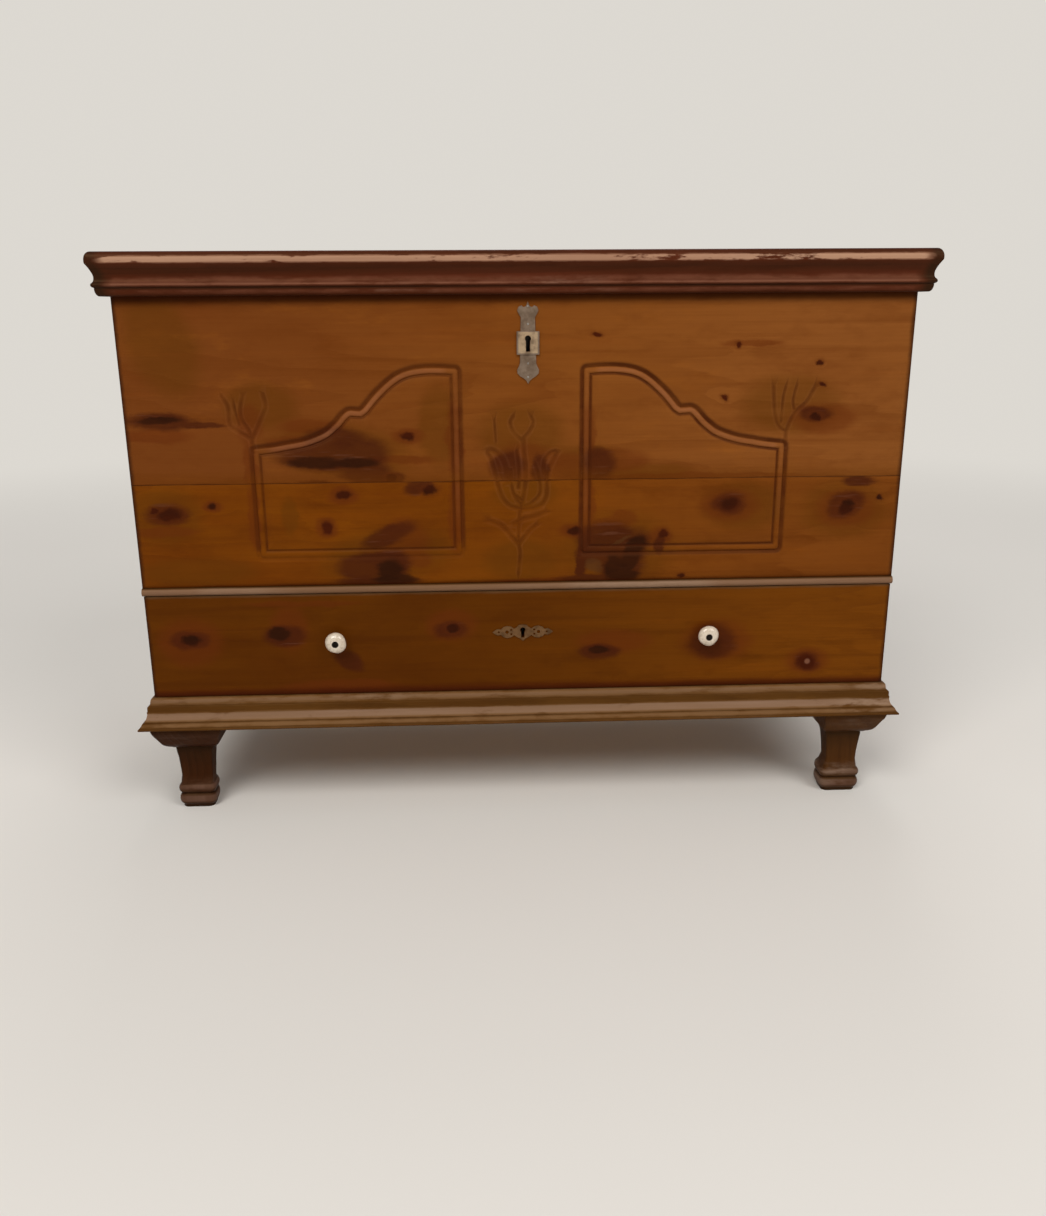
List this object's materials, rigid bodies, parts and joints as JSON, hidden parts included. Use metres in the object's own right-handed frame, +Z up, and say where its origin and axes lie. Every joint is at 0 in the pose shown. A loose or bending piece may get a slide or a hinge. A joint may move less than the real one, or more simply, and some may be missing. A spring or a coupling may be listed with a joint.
{
  "type": "blanket chest with drawer",
  "caption": "Lift-top pine blanket chest with moulded lid, arched routed panel frames, a long lipped drawer, porcelain knobs and square shaped feet.",
  "frame": {"origin": "centre of the bounding box's footprint, on the floor", "axes": "+X along the width to the right seen from the front, +Y to the back, +Z up"},
  "size_m": [1.172, 0.5526, 0.838],
  "materials": {
    "case_wood": "knotty pine, aged amber shellac, dark knots and stains",
    "lid_wood": "red-brown stained pine, worn pale along the nose",
    "base_wood": "brown stained pine, worn and dusty on its edges",
    "back_wood": "unfinished pine, browned with age",
    "inner_wood": "bare pine, mellowed",
    "porcelain": "white glaze, a little crazed",
    "pewter": "dull grey, worn on the edges",
    "bronze": "aged, dark in the hollows",
    "bolt_steel": "worn bare steel",
    "iron": "dark forged iron"
  },
  "bodies": {
    "case": {"front_board_upper": "case_wood", "front_board_lower": "case_wood", "side_board_upper_left": "case_wood", "side_board_lower_left": "case_wood", "side_board_upper_right": "case_wood", "side_board_lower_right": "case_wood", "back_board_lower": "back_wood", "back_board_middle": "back_wood", "back_board_upper": "back_wood", "chest_floor": "inner_wood", "floor_cleat_left": "inner_wood", "floor_cleat_right": "inner_wood", "floor_cleat_back": "inner_wood", "waist_rail": "inner_wood", "waist_moulding": "base_wood", "bottom_rail": "case_wood", "drawer_runner_left": "inner_wood", "drawer_runner_right": "inner_wood", "base_moulding_front": "base_wood", "base_moulding_left": "base_wood", "base_moulding_right": "base_wood", "foot_front_left": "base_wood", "foot_front_right": "base_wood", "foot_rear_left": "base_wood", "foot_rear_right": "base_wood", "corner_block_front_left": "inner_wood", "corner_block_front_right": "inner_wood", "corner_block_rear_left": "inner_wood", "corner_block_rear_right": "inner_wood", "case_hinge_leaf_left": "iron", "case_hinge_leaf_right": "iron", "hinge_pin_left": "iron", "hinge_pin_right": "iron", "chest_lock_case": "iron", "chest_escutcheon": "pewter"},
    "lid": {"lid_board_front": "lid_wood", "lid_board_rear": "lid_wood", "lid_moulding_front": "lid_wood", "lid_moulding_left": "lid_wood", "lid_moulding_right": "lid_wood", "lid_batten_left": "inner_wood", "lid_batten_right": "inner_wood", "lid_hinge_leaf_left": "iron", "lid_hinge_leaf_right": "iron", "lock_catch_plate": "iron"},
    "drawer": {"drawer_front": "case_wood", "drawer_side_left": "inner_wood", "drawer_side_right": "inner_wood", "drawer_back": "inner_wood", "drawer_bottom": "inner_wood", "knob_left": "porcelain", "knob_right": "porcelain", "knob_bolts": "iron", "drawer_escutcheon": "bronze", "drawer_lock_case": "iron"},
    "chest_lock_bolt": {"chest_lock_bolt": "bolt_steel"},
    "drawer_lock_bolt": {"drawer_lock_bolt": "bolt_steel"}
  },
  "joints": [
    {"name": "lid_hinge", "type": "hinge", "parent": "case", "child": "lid", "pos_m": [0, 0.27135, 0.816], "axis": [-1, 0, 0], "range_deg": [0, 100]},
    {"name": "drawer_slide", "type": "slide", "parent": "case", "child": "drawer", "axis": [0, -1, 0], "range_m": [0, 0.4]},
    {"name": "chest_lock_throw", "type": "slide", "parent": "case", "child": "chest_lock_bolt", "axis": [1, 0, 0], "range_m": [0, 0.01]},
    {"name": "drawer_lock_throw", "type": "slide", "parent": "drawer", "child": "drawer_lock_bolt", "axis": [0, 0, 1], "range_m": [0, 0.009]}
  ]
}
